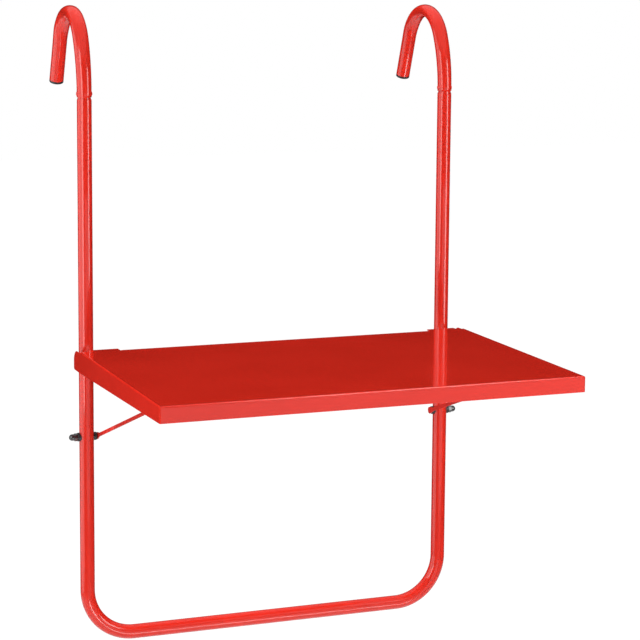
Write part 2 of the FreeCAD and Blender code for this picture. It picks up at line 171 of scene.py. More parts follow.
left_strip = (-1.02, -0.72, -0.12), (-0.1, -0.1, -0.12), 0.36, 1.3, 7
right_strip = (1.2, -1.45, -0.12), (0.0, -0.1, -0.12), 0.50, 1.3, 13
side_box = (-2.2, 0.20, -0.3), (-0.2, 0.0, -0.3), 2.8, 2.4, 33
soft_box("left_strip", *left_strip, False)
soft_box("right_strip", *right_strip, False)
soft_box("side_box", *side_box, False)
gloss_box("left_strip_gloss", round_pieces, *left_strip)
gloss_box("right_strip_gloss", round_pieces, *right_strip)
gloss_box("side_box_gloss", round_pieces, *side_box)
gloss_box("fold_gloss", sheet_pieces, (0.75, -1.2, 1.1), (0.0, -0.4, -0.4), 0.8, 0.5, 14)
soft_box("fold_fill", (0.85, -1.7, 0.25), (0.0, -0.1, 0.0), 0.60, 0.8, 10, False)
soft_box("top_box", (0.0, 0.5, 2.0), (0.0, -0.2, -0.45), 1.8, 1.8, 76, False)
soft_box("front_box", (0.3, -3.3, -0.95), (0.0, -0.3, -0.5), 3.4, 1.3, 11)
soft_box("front_fill", (0.2, -2.8, -0.9), (0.0, -0.3, -0.5), 1.6, 1.0, 5.5, False)
soft_box("low_strip", (0.2, -1.5, -1.5), (0.0, -0.1, -0.9), 1.4, 0.15, 6)
soft_box("back_fill", (-1.9, 2.6, 1.2), (0.0, -0.2, -0.45), 1.6, 1.6, 20, False)

camera_data = bpy.data.cameras.new("camera")
camera_data.sensor_width = 36.0
camera_data.lens = 119.9237
camera_data.shift_y = -0.130117
camera = bpy.data.objects.new("camera", camera_data)
turn, tilt, lean_over = radians(21.1863), radians(7.654), radians(-0.4416)
ahead = Vector((sin(turn) * cos(tilt), cos(turn) * cos(tilt), -sin(tilt)))
level = Vector((cos(turn), -sin(turn), 0))
down = ahead.cross(level)
sideways = level * cos(lean_over) + down * sin(lean_over)
upward = level * sin(lean_over) - down * cos(lean_over)
facing = Matrix((sideways, upward, -ahead)).transposed()
camera.matrix_world = Matrix.Translation((-1.058812, -3.013684, 0.101055)) @ facing.to_4x4()
scene.collection.objects.link(camera)
scene.camera = camera

# Frame tube: round steel tube, 21 mm outside and 1.5 mm thick, bent on a mandrel to a wide U. Each
# top end is swaged down so that a hook can be pushed over it. Glossy red powder coat, sprayed on
# after bending, which leaves a faint orange-peel wave. Sizes are in millimetres.
tube_radius, tube_wall = 10.5, 1.5
upright_x = 280.0
bend_radius = 70.0
crown_radius, hook_lean, hook_splay = 64.0, radians(26), radians(21)
sweep_radius, hook_foot = 175.0, 6.0
hook_radius = 10.5
neck, neck_taper = 10.0, 4.0
crown_z = hook_radius - crown_radius
crown_start = Vector((upright_x, -crown_radius * cos(hook_lean), crown_z + crown_radius * sin(hook_lean)))
upright_y = crown_start.y - sweep_radius * (1 - cos(hook_lean))
sweep_start_z = crown_start.z - sweep_radius * sin(hook_lean)
joint_z = sweep_start_z - hook_foot
top_z = -466.5
frame_drop = 432.5
bottom_z = top_z - frame_drop
slip_fit = 0.1
neck_radius = hook_radius - tube_wall - slip_fit


def effect_group(name, inputs, outputs):
    """An empty shader node group with float inputs and the named outputs."""
    group = bpy.data.node_groups.new(name, "ShaderNodeTree")
    for socket, value in inputs:
        made = group.interface.new_socket(socket, in_out="INPUT", socket_type="NodeSocketFloat")
        made.default_value = value
    for socket, kind in outputs:
        group.interface.new_socket(socket, in_out="OUTPUT", socket_type=kind)
    return group, group.nodes.new("NodeGroupInput"), group.nodes.new("NodeGroupOutput")


orange_peel, entry, leave = effect_group(
    "orange_peel",
    [("Wave Size", 1.0), ("Wave Height", 1.0)],
    [("Shade", "NodeSocketFloat"), ("Normal", "NodeSocketVector")],
)
place = orange_peel.nodes.new("ShaderNodeTexCoord")
grow = orange_peel.nodes.new("ShaderNodeVectorMath")
grow.operation = "SCALE"
orange_peel.links.new(place.outputs["Object"], grow.inputs[0])
orange_peel.links.new(entry.outputs["Wave Size"], grow.inputs["Scale"])
wave = orange_peel.nodes.new("ShaderNodeTexNoise")
wave.inputs["Scale"].default_value = 210.0
wave.inputs["Detail"].default_value = 2.0
wave.inputs["Roughness"].default_value = 0.45
orange_peel.links.new(grow.outputs[0], wave.inputs["Vector"])
slow_wave = orange_peel.nodes.new("ShaderNodeTexNoise")
slow_wave.inputs["Scale"].default_value = 9.0
slow_wave.inputs["Detail"].default_value = 3.0
orange_peel.links.new(place.outputs["Object"], slow_wave.inputs["Vector"])
bump = orange_peel.nodes.new("ShaderNodeBump")
bump.inputs["Distance"].default_value = 0.0002
orange_peel.links.new(entry.outputs["Wave Height"], bump.inputs["Strength"])
orange_peel.links.new(wave.outputs[0], bump.inputs["Height"])
orange_peel.links.new(slow_wave.outputs[0], leave.inputs["Shade"])
orange_peel.links.new(bump.outputs[0], leave.inputs["Normal"])


def powder_coat(name, thick, thin, wave_height, wave_size=1.0, roughness=0.3):
    """Glossy powder coat: two near shades of the colour, a clear top layer and the peel's wave."""
    material, tree, shader = new_material(name)
    peel = tree.nodes.new("ShaderNodeGroup")
    peel.node_tree = orange_peel
    peel.inputs["Wave Height"].default_value = wave_height
    peel.inputs["Wave Size"].default_value = wave_size
    shades = tree.nodes.new("ShaderNodeValToRGB")
    shades.color_ramp.elements[0].position = 0.38
    shades.color_ramp.elements[0].color = (*thick, 1)
    shades.color_ramp.elements[1].position = 0.66
    shades.color_ramp.elements[1].color = (*thin, 1)
    tree.links.new(peel.outputs["Shade"], shades.inputs[0])
    tree.links.new(shades.outputs[0], shader.inputs["Base Color"])
    tree.links.new(peel.outputs["Normal"], shader.inputs["Normal"])
    shader.inputs["Roughness"].default_value = roughness
    shader.inputs["Specular IOR Level"].default_value = 0.08
    shader.inputs["Coat Weight"].default_value = 1.0
    shader.inputs["Coat Roughness"].default_value = 0.08
    return material


red_tube_coat = powder_coat("red_tube_coat", (0.60, 0.0200, 0.0100), (0.64, 0.0222, 0.0115), 0.03)


def verts_of(items):
    return [item for item in items if isinstance(item, bmesh.types.BMVert)]


def edges_of(items):
    return [item for item in items if isinstance(item, bmesh.types.BMEdge)]


def linked_edges(verts):
    return list({edge for vert in verts for edge in vert.link_edges})


def start_ring(form, radius, place, sides=48):
    """Ring of edges that a bar or tube starts from, around a vertical axis."""
    made = bmesh.ops.create_circle(form, segments=sides, radius=radius)
    bmesh.ops.translate(form, verts=made["verts"], vec=place)
    return linked_edges(made["verts"])


def ring_verts(edges):
    return list({vert for edge in edges for vert in edge.verts})


def run_on(form, edges, move):
    """Lengthens a tube by one straight run and gives the new end ring."""
    made = bmesh.ops.extrude_edge_only(form, edges=edges)
    bmesh.ops.translate(form, verts=verts_of(made["geom"]), vec=move)
    return edges_of(made["geom"])


def run_to(form, edges, level):
    """Lengthens a vertical tube to a level and gives the new end ring."""
    return run_on(form, edges, (0, 0, level - edges[0].verts[0].co.z))


def bend_on(form, edges, centre, axis, angle, steps):
    """Lengthens a tube by one bend about an axis through centre and gives the new end ring."""
    made = bmesh.ops.spin(form, geom=edges, cent=centre, axis=axis, angle=angle, steps=steps)
    return edges_of(made["geom_last"])


def resize_ring(form, edges, factors):
    verts = ring_verts(edges)
    middle = sum((vert.co for vert in verts), Vector()) / len(verts)
    bmesh.ops.scale(form, verts=verts, vec=factors, space=Matrix.Translation(-middle))


def give_wall(form, thickness):
    """Turns an open skin into a closed wall that grows inwards."""
    bmesh.ops.remove_doubles(form, verts=form.verts, dist=0.001)
    bmesh.ops.recalc_face_normals(form, faces=form.faces)
    bmesh.ops.solidify(form, geom=form.faces, thickness=thickness)


def keep_piece(form, name, body, slot, material, replaced=(), sharp=32):
    """Finishes a form drawn in millimetres as a piece in metres that rides on a body."""
    bmesh.ops.remove_doubles(form, verts=form.verts, dist=0.001)
    bmesh.ops.recalc_face_normals(form, faces=form.faces)
    bmesh.ops.scale(form, verts=form.verts, vec=(0.001, 0.001, 0.001))
    for face in form.faces:
        face.smooth = True
    for edge in form.edges:
        edge.smooth = edge.calc_face_angle(pi) < radians(sharp)
    mesh = bpy.data.meshes.new(name)
    form.to_mesh(mesh)
    form.free()
    piece = bpy.data.objects.new(name, mesh)
    scene.collection.objects.link(piece)
    (sheet_pieces if slot == "red_sheet" else round_pieces).objects.link(piece)
    mesh.materials.append(material)
    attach(piece, body)
    if replaced:
        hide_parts(*replaced)
    return piece


def keep_pair(form, name, bodies, slot, material, replaced=(), sharp=32):
    """Keeps a form drawn for the right side, and its mirror image for the left."""
    left = form.copy()
    bmesh.ops.scale(left, verts=left.verts, vec=(-1, 1, 1))
    for side, shape, body in (("_right", form, bodies[1]), ("_left", left, bodies[0])):
        nodes = [node + side for node in replaced]
        keep_piece(shape, name + side, body, slot, material, nodes, sharp)


tube = bmesh.new()
ring = start_ring(tube, neck_radius, (-upright_x, upright_y, joint_z + neck))
ring = run_on(tube, ring, (0, 0, -neck))
ring = run_on(tube, ring, (0, 0, -neck_taper))
widening = tube_radius / neck_radius
resize_ring(tube, ring, [widening] * 3)
corner_z = bottom_z + bend_radius
upright_levels = (-300, -640)
for level in (*upright_levels, corner_z):
    ring = run_to(tube, ring, level)
around = (0, -1, 0)
inner_x = upright_x - bend_radius
ring = bend_on(tube, ring, (-inner_x, upright_y, corner_z), around, pi / 2, 24)
ring = run_on(tube, ring, (inner_x, 0, 0))
ring = run_on(tube, ring, (inner_x, 0, 0))
ring = bend_on(tube, ring, (inner_x, upright_y, corner_z), around, pi / 2, 24)
for level in (*reversed(upright_levels), joint_z - neck_taper):
    ring = run_to(tube, ring, level)
ring = run_on(tube, ring, (0, 0, neck_taper))
resize_ring(tube, ring, [1 / widening] * 3)
ring = run_on(tube, ring, (0, 0, neck))
give_wall(tube, tube_wall)
keep_piece(tube, "u_frame", "frame", "red_tube", red_tube_coat, ["frame_tube"])

# Hooks: two lengths of the same tube bent over a former, pushed over the necks of the frame and
# riveted. Each sweeps back a little, goes over the rail and ends in an open leg. Bending has pressed
# the tube slightly oval.
hook = bmesh.new()
mouth_radius, mouth_rise = hook_radius - 0.25, 0.4
ring = start_ring(hook, mouth_radius, (upright_x, upright_y, joint_z))
ring = run_on(hook, ring, (0, 0, mouth_rise))
resize_ring(hook, ring, [hook_radius / mouth_radius] * 3)
ring = run_on(hook, ring, (0, 0, hook_foot - mouth_rise))
across = (1, 0, 0)
ring = bend_on(hook, ring, (upright_x, upright_y + sweep_radius, sweep_start_z), across, -hook_lean, 8)
crown_turn = pi - hook_lean - hook_splay
ring = bend_on(hook, ring, (upright_x, 0, crown_z), across, -crown_turn, 44)
leg = Vector((0, sin(hook_splay), -cos(hook_splay)))
hook_leg = 66.0
run_on(hook, ring, leg * hook_leg)
oval_runout, flattening, bulging = 0.12, 0.11, 0.08
for vert in hook.verts:
    centre, radius = Vector((upright_x, 0, crown_z)), crown_radius
    turned = atan2(vert.co.z - centre.z, centre.y - vert.co.y)
    oval = min(1.0, (pi - hook_splay - turned) / (oval_runout * crown_turn))
    if turned < hook_lean:
        centre, radius = Vector((upright_x, upright_y + sweep_radius, sweep_start_z)), sweep_radius
        oval = atan2(vert.co.z - centre.z, centre.y - vert.co.y) / hook_lean
    if vert.co.y > 0 and vert.co.z < crown_z or oval < 0:
        continue
    outward = vert.co - centre
    outward.x = 0
    vert.co -= outward.normalized() * (outward.length - radius) * flattening * oval
    vert.co.x += (vert.co.x - upright_x) * bulging * oval
give_wall(hook, tube_wall)
keep_pair(hook, "rail_hook", ("frame", "frame"), "red_tube", red_tube_coat, ["hook"])

# Hook plugs: black moulded caps pushed into the open hook ends. The rim is rounded and a shallow
# dish in the middle is left by the mould's gate. Three soft ribs on the stem grip the bore.


def plastic(name, colour, roughness, grain_height):
    """Moulded plastic with the fine grain of a spark-eroded mould."""
    material, tree, shader = new_material(name)
    shader.inputs["Base Color"].default_value = (*colour, 1)
    place = tree.nodes.new("ShaderNodeTexCoord")
    grain = tree.nodes.new("ShaderNodeTexNoise")
    grain.inputs["Scale"].default_value = 1900.0
    grain.inputs["Detail"].default_value = 2.0
    tree.links.new(place.outputs["Object"], grain.inputs["Vector"])
    spread = tree.nodes.new("ShaderNodeMapRange")
    spread.inputs["To Min"].default_value = roughness - 0.06
    spread.inputs["To Max"].default_value = roughness + 0.08
    tree.links.new(grain.outputs[0], spread.inputs["Value"])
    tree.links.new(spread.outputs[0], shader.inputs["Roughness"])
    bump = tree.nodes.new("ShaderNodeBump")
    bump.inputs["Distance"].default_value = 0.00005
    bump.inputs["Strength"].default_value = grain_height
    tree.links.new(grain.outputs[0], bump.inputs["Height"])
    tree.links.new(bump.outputs[0], shader.inputs["Normal"])
    return material


black_plastic = plastic("black_plastic", (0.012, 0.012, 0.013), 0.38, 0.5)


def draw_line(form, last, points):
    """Draws a chain of edges from a vertex through points."""
    for point in points:
        last = bmesh.ops.extrude_vert_indiv(form, verts=[last])["verts"][0]
        last.co = Vector(point)


def turn_outline(form, outline, steps=48):
    """Turns a half outline of (radius, height) points round the vertical axis, as on a lathe."""
    points = [(radius, 0, level) for radius, level in outline]
    draw_line(form, form.verts.new(points[0]), points[1:])
    chain = form.verts[:] + form.edges[:]
    bmesh.ops.spin(form, geom=chain, cent=(0, 0, 0), axis=(0, 0, 1), angle=2 * pi, steps=steps,
                   use_merge=True)
    bmesh.ops.remove_doubles(form, verts=form.verts, dist=0.0005)


def rounded(corner_radius, corner_level, rounding, start, end, steps=4):
    """Points of a small rounding round the centre (corner_radius, corner_level), angles in degrees."""
    points = []
    for step in range(steps + 1):
        angle = radians(start + (end - start) * step / steps)
        points.append((corner_radius + rounding * cos(angle), corner_level + rounding * sin(angle)))
    return points


def stand_along(form, direction, origin):
    """Turns a form from the vertical axis to a direction, and moves its zero to origin."""
    turn_to = Vector((0, 0, 1)).rotation_difference(Vector(direction)).to_matrix().to_4x4()
    move = Matrix.Translation(origin) @ turn_to
    bmesh.ops.transform(form, matrix=move, verts=form.verts, space=Matrix())


leg_top = Vector((upright_x, crown_radius * cos(hook_splay), crown_z + crown_radius * sin(hook_splay)))
leg_end = leg_top + leg * hook_leg
stem_radius = hook_radius - tube_wall - slip_fit
plug = bmesh.new()
stem = []
for level in (-13.0, -9.0, -5.0):
    stem += [(stem_radius - 0.5, level - 1.2), (stem_radius, level), (stem_radius - 0.5, level + 1.2)]
turn_outline(plug, [(0, -15), (6.4, -15), (7.6, -14.4)] + stem + [(stem_radius - 0.4, 0), (10.2, 0)]
             + rounded(10.0, 0.5, 0.5, -50, 0, 3) + rounded(9.0, 2.5, 1.5, 0, 80, 6)
             + [(4.2, 4.0), (3.6, 3.85), (3.2, 3.6), (0, 3.6)])
stand_along(plug, leg, leg_end)
keep_pair(plug, "hook_end_plug", ("frame", "frame"), "black_plastic", black_plastic, ["hook_plug"])

# Joint rivets: one steel rivet across each joint of hook and frame tube, pulled up before coating.
# Only its two low domed heads show, a small bump on each side of the tube.


def add_copy(form, part, direction, origin):
    """Adds a copy of a turned part to a form, stood along a direction at origin."""
    one = part.copy()
    stand_along(one, direction, origin)
    copy_mesh = bpy.data.meshes.new("copy")
    one.to_mesh(copy_mesh)
    one.free()
    form.from_mesh(copy_mesh)
    bpy.data.meshes.remove(copy_mesh)


rivet = bmesh.new()
turn_outline(rivet, [(0, 1.3)] + rounded(0, -4.3, 5.6, 83, 53, 7)
             + [(3.55, -0.1), (3.55, -1.3), (0, -1.3)], 32)
rivet_rise = 5.0
heads = bmesh.new()
for side in (-1, 1):
    add_copy(heads, rivet, (side, 0, 0), (upright_x + side * hook_radius, upright_y, joint_z + rivet_rise))
rivet.free()
keep_pair(heads, "joint_rivet_head", ("frame", "frame"), "red_tube", red_tube_coat, ["joint_rivet"])

# Hinge lugs: 5 mm steel plates laser cut with a round eye in front, MIG welded to the outer flank of
# each upright before coating. The beads show the ripples of the weld pool.
hinge_reach, hinge_drop = 30.5, 19.0
hinge_y, hinge_z = upright_y - hinge_reach, top_z - hinge_drop
lug_thickness, lug_seat = 5.0, 1.9
lug_inner_x = upright_x + tube_radius - lug_seat
lug_outer_x = lug_inner_x + lug_thickness


def from_solid(node):
    """Copy of a CAD solid with its loose triangles joined to whole faces, in millimetres."""
    form = bmesh.new()
    form.from_mesh(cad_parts[node].data)
    bmesh.ops.scale(form, verts=form.verts, vec=(1000, 1000, 1000))
    bmesh.ops.remove_doubles(form, verts=form.verts, dist=0.001)
    bmesh.ops.dissolve_limit(form, angle_limit=radians(0.6), verts=form.verts, edges=form.edges)
    return form


def round_off(form, items, radius, segments, kind="EDGES"):
    """Rounds folds or edges, or with VERTICES the corners of a sheet."""
    bmesh.ops.bevel(form, geom=items, offset=radius, offset_type="OFFSET", segments=segments, profile=0.5,
                    affect=kind, clamp_overlap=True, material=-1)


def break_edges(form, radius, limit=40):
    """Small rounding on every edge sharper than the limit, as tumbling and coating leave it."""
    sharp = [edge for edge in form.edges if edge.is_manifold and edge.calc_face_angle() > radians(limit)]
    round_off(form, sharp, radius, 2)


def lay_weld(form, points, radius):
    """Weld bead along points: a round bar whose thickness swells and shrinks with each ripple."""
    pitch, end_share, valley_share = 1.1, 0.45, 0.86
    points = [Vector(point) for point in points]
    rings = [points[0]]
    for start, end in zip(points, points[1:]):
        count = max(1, round((end - start).length / (pitch / 2)))
        rings += [start.lerp(end, step / count) for step in range(1, count + 1)]
    old_way = (rings[1] - rings[0]).normalized()
    old_radius = radius * end_share
    made = bmesh.ops.create_circle(form, segments=10, radius=old_radius)
    turn_to = Vector((0, 0, 1)).rotation_difference(old_way).to_matrix().to_4x4()
    move = Matrix.Translation(rings[0]) @ turn_to
    bmesh.ops.transform(form, matrix=move, verts=made["verts"], space=Matrix())
    edges = linked_edges(made["verts"])
    bmesh.ops.contextual_create(form, geom=edges)
    for number in range(1, len(rings)):
        way = (rings[min(number + 1, len(rings) - 1)] - rings[number - 1]).normalized()
        last = number == len(rings) - 1
        new_radius = radius * (end_share if last else 1.0 if number % 2 else valley_share)
        edges = run_on(form, edges, rings[number] - rings[number - 1])
        move = (Matrix.Translation(rings[number]) @ old_way.rotation_difference(way).to_matrix().to_4x4()
                @ Matrix.Scale(new_radius / old_radius, 4) @ Matrix.Translation(-rings[number]))
        bmesh.ops.transform(form, matrix=move, verts=ring_verts(edges), space=Matrix())
        old_radius, old_way = new_radius, way
    bmesh.ops.contextual_create(form, geom=edges)


lug = from_solid("hinge_lug_right")
break_edges(lug, 0.35)
keep_pair(lug, "hinge_lug_plate", ("frame", "frame"), "red_tube", red_tube_coat, ["hinge_lug"])
beads = bmesh.new()
for shift_x, shift_y, half in ((-0.1, -6.2, 8.2), (0.9, 5.3, 8.5)):
    line_x, line_y = lug_inner_x + shift_x, upright_y + shift_y
    lay_weld(beads, [(line_x, line_y, hinge_z - half), (line_x, line_y, hinge_z + half)], 1.5)
low_line = hinge_z - 9.6
lay_weld(beads, [(lug_inner_x + shift_x, upright_y + shift_y, low_line)
                 for shift_x, shift_y in ((1.2, -4), (1.9, 0), (1.2, 4))], 1.2)
keep_pair(beads, "hinge_lug_weld", ("frame", "frame"), "red_tube", red_tube_coat)

# Hinge bushes: flanged nylon bushes pressed into the lugs, white as moulded. The stud turns in them.
bush_plastic = plastic("natural_nylon", (0.74, 0.72, 0.66), 0.42, 0.6)
bush = bmesh.new()
turn_outline(bush, [(4.05, -5), (5.2, -5), (5.5, -4.7), (5.5, 0), (8.7, 0)]
             + rounded(8.7, 0.3, 0.3, -90, 0, 2) + rounded(8.7, 1.7, 0.3, 0, 90, 2)
             + [(4.4, 2.0), (4.05, 1.7), (4.05, -5)])
stand_along(bush, (1, 0, 0), (lug_outer_x, hinge_y, hinge_z))
keep_pair(bush, "lug_bush", ("frame", "frame"), "bush_plastic", bush_plastic, ["hinge_bush"])

# Stay spacers and nut washers: black moulded rings on both flanks of each upright, hollowed where
# they lie on the tube. The stay's stud passes through both.
pivot_drop, stay_inset = 133.0, 16.0
pivot_z = top_z - pivot_drop
stay_x = upright_x - stay_inset
washer_face_x = upright_x + tube_radius + 3.0
spacer = bmesh.new()
turn_outline(spacer, [(3.05, 0), (5.6, 0)] + rounded(5.6, 0.4, 0.4, -90, 0, 3)
             + [(6.0, 6.1), (3.05, 6.1), (3.05, 0)])
stand_along(spacer, (1, 0, 0), (stay_x + 1.9, upright_y, pivot_z))
keep_pair(spacer, "stay_spacer_ring", ("frame", "frame"), "black_plastic", black_plastic, ["stay_spacer"])
washer = bmesh.new()
turn_outline(washer, [(3.05, -5.2), (6.3, -5.2)] + rounded(5.8, -0.5, 0.5, 0, 90, 3)
             + [(3.05, 0), (3.05, -5.2)])
stand_along(washer, (1, 0, 0), (washer_face_x, upright_y, pivot_z))
keep_pair(washer, "cap_nut_washer", ("frame", "frame"), "black_plastic", black_plastic, ["nut_washer"])

# Tray: one sheet of 1.2 mm steel, edges folded down over a thin bar. The front corners are welded and
# ground round; the sides deepen to the rear and run on as ears. Two flat tabs stand behind the rear
# edge, and the rear flange runs only between them. The coat lies flattest and glossiest here.
sheet = 1.2
fold = 2.2
side_gap, rear_gap, ear_gap = 9.5, 43.5, 7.5
tray_depth = 387.0
front_flange, rear_flange = 22.0, 31.0
side_x = upright_x + tube_radius + side_gap
rear_y = upright_y - rear_gap
front_y = rear_y - tray_depth
ear_y = upright_y - ear_gap
front_low, rear_low = top_z - front_flange, top_z - rear_flange
fold_z = top_z - fold
fold_x, fold_front_y, fold_rear_y = side_x - fold, front_y + fold, rear_y - fold
fold_steps = 6
red_sheet_coat = powder_coat(
    "red_sheet_coat", (0.60, 0.0195, 0.0098), (0.64, 0.0215, 0.0112), 0.05, 0.8, 0.22)


def carry_profile(edges, move, lowest):
    """Folds the next straight flange: the profile moves on and its lowest point goes to a new depth."""
    edges = run_on(tray, edges, move)
    min(ring_verts(edges), key=lambda vert: vert.co.z).co.z = lowest
    return edges


def near(first, second):
    return abs(first - second) < 0.01


tray = bmesh.new()
start = tray.verts.new((fold_x, rear_y, top_z))
made = bmesh.ops.spin(tray, geom=[start], cent=(fold_x, rear_y, fold_z), axis=(0, 1, 0), angle=pi / 2,
                      steps=fold_steps)
made = bmesh.ops.extrude_vert_indiv(tray, verts=verts_of(made["geom_last"]))
made["verts"][0].co.z = rear_low
first_profile = list(tray.edges)
profile = carry_profile(first_profile, (0, fold_front_y - rear_y, 0), front_low)
profile = bend_on(tray, profile, (fold_x, fold_front_y, 0), (0, 0, 1), -pi / 2, fold_steps)
profile = carry_profile(profile, (-2 * fold_x, 0, 0), front_low)
profile = bend_on(tray, profile, (-fold_x, fold_front_y, 0), (0, 0, 1), -pi / 2, fold_steps)
profile = carry_profile(profile, (0, rear_y - fold_front_y, 0), rear_low)
for edges in (first_profile, profile):
    upright_edge = max(edges, key=lambda edge: edge.calc_length())
    made = bmesh.ops.extrude_edge_only(tray, edges=[upright_edge])
    verts = verts_of(made["geom"])
    bmesh.ops.translate(tray, verts=verts, vec=(0, ear_y - rear_y, 0))
    round_off(tray, [max(verts, key=lambda vert: vert.co.z)], 16.0, 12, "VERTICES")
    verts = [vert for vert in tray.verts if near(vert.co.y, ear_y) and near(vert.co.z, rear_low)]
    round_off(tray, verts[-1:], 4.0, 6, "VERTICES")
bmesh.ops.remove_doubles(tray, verts=tray.verts, dist=0.001)
tab_half, tab_rear_y = 22.5, rear_y + 11
tab_inner, tab_outer = stay_x - tab_half, stay_x + tab_half
slot_inner, slot_front = tab_inner - 1.2, fold_rear_y - 0.6
half_rim = [(tab_outer, rear_y), (tab_outer, tab_rear_y), (tab_inner, tab_rear_y), (tab_inner, slot_front),
            (slot_inner, slot_front), (slot_inner, fold_rear_y)]
rim = half_rim + [(-x, y) for x, y in reversed(half_rim)] + [(-fold_x, rear_y)]
top_verts = [vert for vert in tray.verts if near(vert.co.z, top_z)]
right_end = max(top_verts, key=lambda vert: vert.co.y + vert.co.x)
draw_line(tray, right_end, [(x, y, top_z) for x, y in rim])
bmesh.ops.remove_doubles(tray, verts=tray.verts, dist=0.001)
flat = [edge for edge in tray.edges if all(near(vert.co.z, top_z) for vert in edge.verts)]
bmesh.ops.contextual_create(tray, geom=flat)
tab_corners = [vert for vert in tray.verts if near(vert.co.y, tab_rear_y) and near(vert.co.z, top_z)]
round_off(tray, tab_corners, 2.0, 5, "VERTICES")
middle = [edge for edge in tray.edges if edge.calc_length() > 400
          and all(near(vert.co.y, fold_rear_y) and near(vert.co.z, top_z) for vert in edge.verts)]
folded = bend_on(tray, middle, (0, fold_rear_y, fold_z), (1, 0, 0), -pi / 2, fold_steps)
run_on(tray, folded, (0, 0, front_low - fold_z))
give_wall(tray, sheet)
tray_piece = keep_piece(tray, "folded_tray", "table_top", "red_sheet", red_sheet_coat, ["table_tray"], 50)
rim_round = tray_piece.modifiers.new("edge_rounding", "BEVEL")
rim_round.width = 0.0003
rim_round.segments = 2
rim_round.limit_method = "ANGLE"
rim_round.angle_limit = radians(60)
even_light = tray_piece.modifiers.new("flat_faces", "WEIGHTED_NORMAL")
even_light.keep_sharp = True

# Stiffener: hat section folded from the same sheet and spot welded under the tray. Each weld leaves a
# round dent with a raised lip in its two feet.
under = top_z - sheet
hat_y = rear_y - tray_depth / 2
hat_end = side_x - 50.0
hat_half, crown_half, hat_height = 30.0, 18.2, 12.0
foot_z, hat_low = under - sheet, under - hat_height
hat = bmesh.new()
section = [(-hat_half, foot_z), (-crown_half, foot_z), (-crown_half, hat_low), (crown_half, hat_low),
           (crown_half, foot_z), (hat_half, foot_z)]
points = [(-hat_end, hat_y + y, z) for y, z in section]
draw_line(hat, hat.verts.new(points[0]), points[1:])
run_on(hat, list(hat.edges), (2 * hat_end, 0, 0))
folds = [edge for edge in hat.edges if edge.is_manifold]
round_off(hat, folds, 1.9, 4)
give_wall(hat, sheet)
keep_piece(hat, "hat_stiffener", "table_top", "red_sheet", red_sheet_coat, ["stiffener_rail"], 40)
dents = bmesh.new()
dent = bmesh.new()
turn_outline(dent, [(2.9, -0.1), (2.9, 0.12), (2.6, 0.28), (2.2, 0.2), (1.9, 0.06), (0, 0.04), (0, -0.1),
                    (2.9, -0.1)], 24)
for row in (-24.5, 24.5):
    for place_x in range(-225, 226, 75):
        add_copy(dents, dent, (0, 0, -1), (place_x, hat_y + row, foot_z))
dent.free()
keep_piece(dents, "stiffener_spot_welds", "table_top", "red_sheet", red_sheet_coat)

# Stay guides: angle brackets of 2 mm steel under the sheet. The long notch in the upright leg lets the
# stay's end slide from the front stop, where it holds the table level, to the rear when it folds.
guide = from_solid("stay_guide_right")
guide_x, guide_sheet, guide_foot = stay_x + 11.0, 2.0, 14.0
for x, z, rounding in ((guide_x - guide_sheet, under, 2.0), (guide_x, under - guide_sheet, 0.8)):
    chosen = [edge for edge in guide.edges
              if all(hypot(vert.co.x - x, vert.co.z - z) < 0.05 for vert in edge.verts)]
    round_off(guide, chosen, rounding, 4)
break_edges(guide, 0.3, limit=50)
keep_pair(guide, "notched_guide", ("table_top", "table_top"), "red_sheet", red_sheet_coat,
          ["stay_guide"], 40)
box_low, box_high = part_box("stay_guide_right")
guide_front, guide_rear = box_low[1] * 1000, box_high[1] * 1000
guide_welds = bmesh.new()
bead, bead_x, bead_z = 12.0, guide_x + guide_foot + 0.2, under - 1.3
for start_y in (guide_front + 2, (guide_front + guide_rear - bead) / 2, guide_rear - 2 - bead):
    lay_weld(guide_welds, [(bead_x, start_y, bead_z), (bead_x, start_y + bead, bead_z)], 1.2)
keep_pair(guide_welds, "guide_weld", ("table_top", "table_top"), "red_sheet", red_sheet_coat)

# Hinge studs: zinc plated collar studs welded inside the ears. The shoulder turns in the bush, and a
# washer and a lock nut with a nylon ring hold it on the inner side of the lug.


def zinc(name, shade, roughness):
    """Bright zinc plating: a cool metal with cloudy gloss."""
    material, tree, shader = new_material(name)
    shader.inputs["Metallic"].default_value = 1.0
    place = tree.nodes.new("ShaderNodeTexCoord")
    cloud = tree.nodes.new("ShaderNodeTexNoise")
    cloud.inputs["Scale"].default_value = 260.0
    cloud.inputs["Detail"].default_value = 4.0
    tree.links.new(place.outputs["Object"], cloud.inputs["Vector"])
    shades = tree.nodes.new("ShaderNodeValToRGB")
    shades.color_ramp.elements[0].position = 0.3
    shades.color_ramp.elements[0].color = (*[part * 0.8 for part in shade], 1)
    shades.color_ramp.elements[1].position = 0.7
    shades.color_ramp.elements[1].color = (*shade, 1)
    tree.links.new(cloud.outputs[0], shades.inputs[0])
    tree.links.new(shades.outputs[0], shader.inputs["Base Color"])
    spread = tree.nodes.new("ShaderNodeMapRange")
    spread.inputs["To Min"].default_value = roughness - 0.08
    spread.inputs["To Max"].default_value = roughness + 0.1
    tree.links.new(cloud.outputs[0], spread.inputs["Value"])
    tree.links.new(spread.outputs[0], shader.inputs["Roughness"])
    return material


zinc_steel = zinc("zinc_steel", (0.62, 0.64, 0.66), 0.3)


def threaded(radius, start, end, pitch=1.0):
    """Half outline of a thread between two heights: one ridge for each pitch."""
    outline = [(radius - 0.6, start), (radius - 0.3, start + pitch * 0.3)]
    level = start + pitch * 0.3
    while level + pitch < end - pitch * 0.2:
        outline += [(radius, level + pitch * 0.25), (radius, level + pitch * 0.4),
                    (radius - 0.55, level + pitch * 0.8), (radius - 0.55, level + pitch)]
        level += pitch
    return outline


